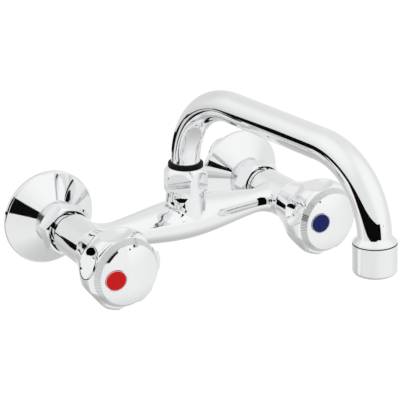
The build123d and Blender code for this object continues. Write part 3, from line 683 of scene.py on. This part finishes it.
# Pale cards near the left handle, which keep the long flag out of single reflections.
PALE_CARDS = {
    # In front of the cap: the front flag stays slim on it.
    "pale_cap": facing_user(-0.19, (
        (-0.089, -0.006), (-0.080, 0.0025), (-0.072, 0.0095), (-0.0625, 0.015),
        (-0.050, 0.030), (-0.040, 0.030), (-0.040, -0.020), (-0.070, -0.020))),
    # Beside the handle body: the side flag stays out of its flute.
    "pale_flute": facing_side(-0.106, (
        (-0.089, 0.0015), (-0.089, 0.006), (-0.066, 0.006), (-0.066, -0.0065),
        (-0.074, -0.0036), (-0.079, -0.0018), (-0.084, -0.0002))),
    # Beside the cap: the knurled band stays pale.
    "pale_knurl": facing_side(-0.118, (
        (-0.100, -0.100), (-0.100, 0.045), (-0.155, 0.045), (-0.155, -0.100))),
}

# Black flags a few millimetres wide. Each is seen only from its front, so it shows in one surface.
SPOT_FLAGS = {
    # The dark spot in the left handle's flute.
    "flag_flute": (
        (-0.0929, -0.0970, 0.0062), (-0.0931, -0.0952, 0.0036), (-0.0941, -0.0923, 0.0022),
        (-0.0948, -0.0896, 0.0020), (-0.0950, -0.0887, 0.0035), (-0.0945, -0.0894, 0.0056),
        (-0.0936, -0.0920, 0.0073), (-0.0930, -0.0955, 0.0078)),
    # On the right arm, the dark gap behind the right handle.
    "flag_arm": (
        (0.0550, -0.0610, -0.0021), (0.0579, -0.0607, -0.0012), (0.0596, -0.0626, -0.0021),
        (0.0600, -0.0629, -0.0130), (0.0579, -0.0623, -0.0131), (0.0545, -0.0623, -0.0116)),
    # On the spout's boss, the three parts of the dark hook under the spout nut.
    "flag_boss_top": (
        (-0.0146, -0.0550, 0.0076), (-0.0118, -0.0602, 0.0086), (-0.0063, -0.0644, 0.0085),
        (-0.0091, -0.0632, 0.0057), (-0.0128, -0.0596, 0.0054)),
    "flag_boss_side": (
        (-0.0112, -0.0618, 0.0029), (-0.0091, -0.0632, 0.0057), (-0.0088, -0.0638, 0.0016)),
    "flag_boss_foot": (
        (-0.0071, -0.0637, 0.0001), (-0.0105, -0.0645, -0.0015), (-0.0083, -0.0626, 0.0016)),
}

# A small black flag far out in front, to the right.
FRONT_FLAG = facing_user(-0.85, ((0.29, 0.055), (0.32, 0.055), (0.32, 0.080), (0.29, 0.080)))


def stage_card(name, corners, glow=0.0, one_sided=False):
    """A flat card, black or pale, that only mirror-like surfaces see, or only those in front of it."""
    mesh = bpy.data.meshes.new(name)
    mesh.from_pydata(corners, [], [tuple(range(len(corners)))])
    card = bpy.data.objects.new(name, mesh)
    bpy.context.scene.collection.objects.link(card)
    material, tree, shader = new_material(name)
    shader.inputs["Base Color"].default_value = FLAG_BLACK
    shader.inputs["Emission Color"].default_value = WHITE
    shader.inputs["Emission Strength"].default_value = glow
    shader.inputs["Roughness"].default_value = 1.0
    shader.inputs["Specular IOR Level"].default_value = 0.0
    if one_sided:
        behind = add(tree, "ShaderNodeNewGeometry").outputs["Backfacing"]
        tree.links.new(math_node(tree, "SUBTRACT", 1.0, behind), shader.inputs["Alpha"])
    mesh.materials.append(material)
    card.visible_camera = False
    card.visible_diffuse = False
    card.visible_shadow = False


def blend_shaders(tree, share, first, second):
    """A mix of two shaders by a share."""
    node = add(tree, "ShaderNodeMixShader")
    for socket, source in zip(node.inputs, (share, first, second)):
        tree.links.new(source, socket)
    return node.outputs["Shader"]


class TAP_OT_stage(bpy.types.Operator):
    """Sets the pale floor, the soft light round the tap and the camera"""
    bl_idname = "tap.stage"
    bl_label = "Studio"

    def execute(self, context):
        studio = context.scene.tap_studio
        self.floor(studio)
        self.cards()
        self.world(context.scene, studio)
        self.camera(context.scene, studio)
        return {"FINISHED"}

    def floor(self, studio):
        """The pale floor, which keeps the tap's shadow and isn't mirrored in the plating."""
        bpy.ops.object.select_all(action="DESELECT")
        bpy.ops.mesh.primitive_plane_add(size=FLOOR_SIZE, location=(0.0, 0.0, studio.floor_height))
        floor = bpy.context.object
        floor.name = "floor"
        material, tree, shader = new_material("floor")
        shader.inputs["Base Color"].default_value = opaque(studio.floor_colour)
        shader.inputs["Roughness"].default_value = FLOOR_ROUGHNESS
        shader.inputs["Specular IOR Level"].default_value = 0.0
        shader.inputs["Emission Color"].default_value = WHITE
        seen = add(tree, "ShaderNodeLightPath").outputs["Is Camera Ray"]
        tree.links.new(math_node(tree, "MULTIPLY", seen, FLOOR_LIFT), shader.inputs["Emission Strength"])
        floor.data.materials.append(material)
        floor.visible_glossy = False

    def cards(self):
        """The flags and pale cards that show in the plating and nowhere else."""
        for index, (first, second) in enumerate(zip(LONG_FLAG, LONG_FLAG[1:])):
            (x0, y0, low0, high0), (x1, y1, low1, high1) = first, second
            stage_card(f"flag_{index}", [(x0, y0, low0), (x1, y1, low1), (x1, y1, high1), (x0, y0, high0)])
        for name, corners in PALE_CARDS.items():
            stage_card(name, corners, glow=CARD_GLOW)
        for name, corners in SPOT_FLAGS.items():
            stage_card(name, corners, one_sided=True)
        stage_card("flag_small", FRONT_FLAG)

    def world(self, scene, studio):
        """Even light for the tap, the tent for its reflections, and white paper for the camera."""
        world = bpy.data.worlds.new("studio")
        scene.world = world
        world.use_nodes = True
        tree = world.node_tree
        tree.nodes.clear()
        light, mirror, paper = [add(tree, "ShaderNodeBackground") for _ in range(3)]
        light.inputs["Strength"].default_value = studio.daylight
        light.inputs["Color"].default_value = WHITE
        paper.inputs["Color"].default_value = WHITE
        tree.links.new(self.tent(tree), mirror.inputs["Color"])
        rays = add(tree, "ShaderNodeLightPath").outputs
        lit = blend_shaders(tree, rays["Is Glossy Ray"], light.outputs[0], mirror.outputs[0])
        seen = math_node(tree, "MAXIMUM", rays["Is Camera Ray"], rays["Is Transmission Ray"])
        output = add(tree, "ShaderNodeOutputWorld")
        tree.links.new(blend_shaders(tree, seen, lit, paper.outputs[0]), output.inputs["Surface"])

    def tent(self, tree):
        """The pale tent that the plating mirrors, brighter above and in front."""
        direction = add(tree, "ShaderNodeTexCoord").outputs["Generated"]
        level = TENT_LEVEL
        for patch in TENT_PATCHES:
            heading, height, inner, outer = map(math.radians, patch[:4])
            ahead = math.cos(height)
            centre = (math.sin(heading) * ahead, -math.cos(heading) * ahead, math.sin(height))
            nearness = vector_node(tree, "DOT_PRODUCT", direction, centre).outputs["Value"]
            share = add(tree, "ShaderNodeMapRange", interpolation_type="SMOOTHSTEP")
            tree.links.new(nearness, share.inputs["Value"])
            share.inputs["From Min"].default_value = math.cos(outer)
            share.inputs["From Max"].default_value = math.cos(inner)
            share.inputs["To Max"].default_value = patch[4]
            level = math_node(tree, "ADD", level, share.outputs["Result"])
        return math_node(tree, "MINIMUM", level, 1.0)

    def camera(self, scene, studio):
        """The camera at the photograph's angle."""
        data = bpy.data.cameras.new("camera")
        data.lens = studio.lens
        data.sensor_width = SENSOR_WIDTH
        data.clip_start = NEAREST_SEEN
        data.clip_end = FARTHEST_SEEN
        camera = bpy.data.objects.new("camera", data)
        scene.collection.objects.link(camera)
        camera.location = studio.camera_place
        camera.rotation_euler = (studio.camera_tilt, 0.0, studio.camera_heading)
        scene.camera = camera
        scene.view_settings.view_transform = "Standard"


class TAP_PT_panel(bpy.types.Panel):
    """Lists the tap's pieces and settings"""
    bl_label = "Mixer tap"
    bl_idname = "TAP_PT_panel"
    bl_space_type = "VIEW_3D"
    bl_region_type = "UI"
    bl_category = "Mixer tap"

    def draw(self, context):
        layout = self.layout
        for step in STEPS:
            layout.operator(step.bl_idname)
        for settings in (context.scene.tap_finish, context.scene.tap_studio):
            box = layout.box()
            for name in settings.__annotations__:
                box.prop(settings, name)


STEPS = (TAP_OT_body, TAP_OT_unions, TAP_OT_spout, TAP_OT_handles, TAP_OT_inner, TAP_OT_stage)
CLASSES = (TapFinish, TapStudio, *STEPS, TAP_PT_panel)


def register():
    for cls in CLASSES:
        bpy.utils.register_class(cls)
    bpy.types.Scene.tap_finish = PointerProperty(type=TapFinish)
    bpy.types.Scene.tap_studio = PointerProperty(type=TapStudio)


def unregister():
    del bpy.types.Scene.tap_studio
    del bpy.types.Scene.tap_finish
    for cls in reversed(CLASSES):
        bpy.utils.unregister_class(cls)


def main():
    register()
    bpy.ops.tap.body()
    bpy.ops.tap.unions()
    bpy.ops.tap.spout()
    bpy.ops.tap.handles()
    bpy.ops.tap.inner()
    bpy.ops.tap.stage()


if __name__ == "__main__":
    main()
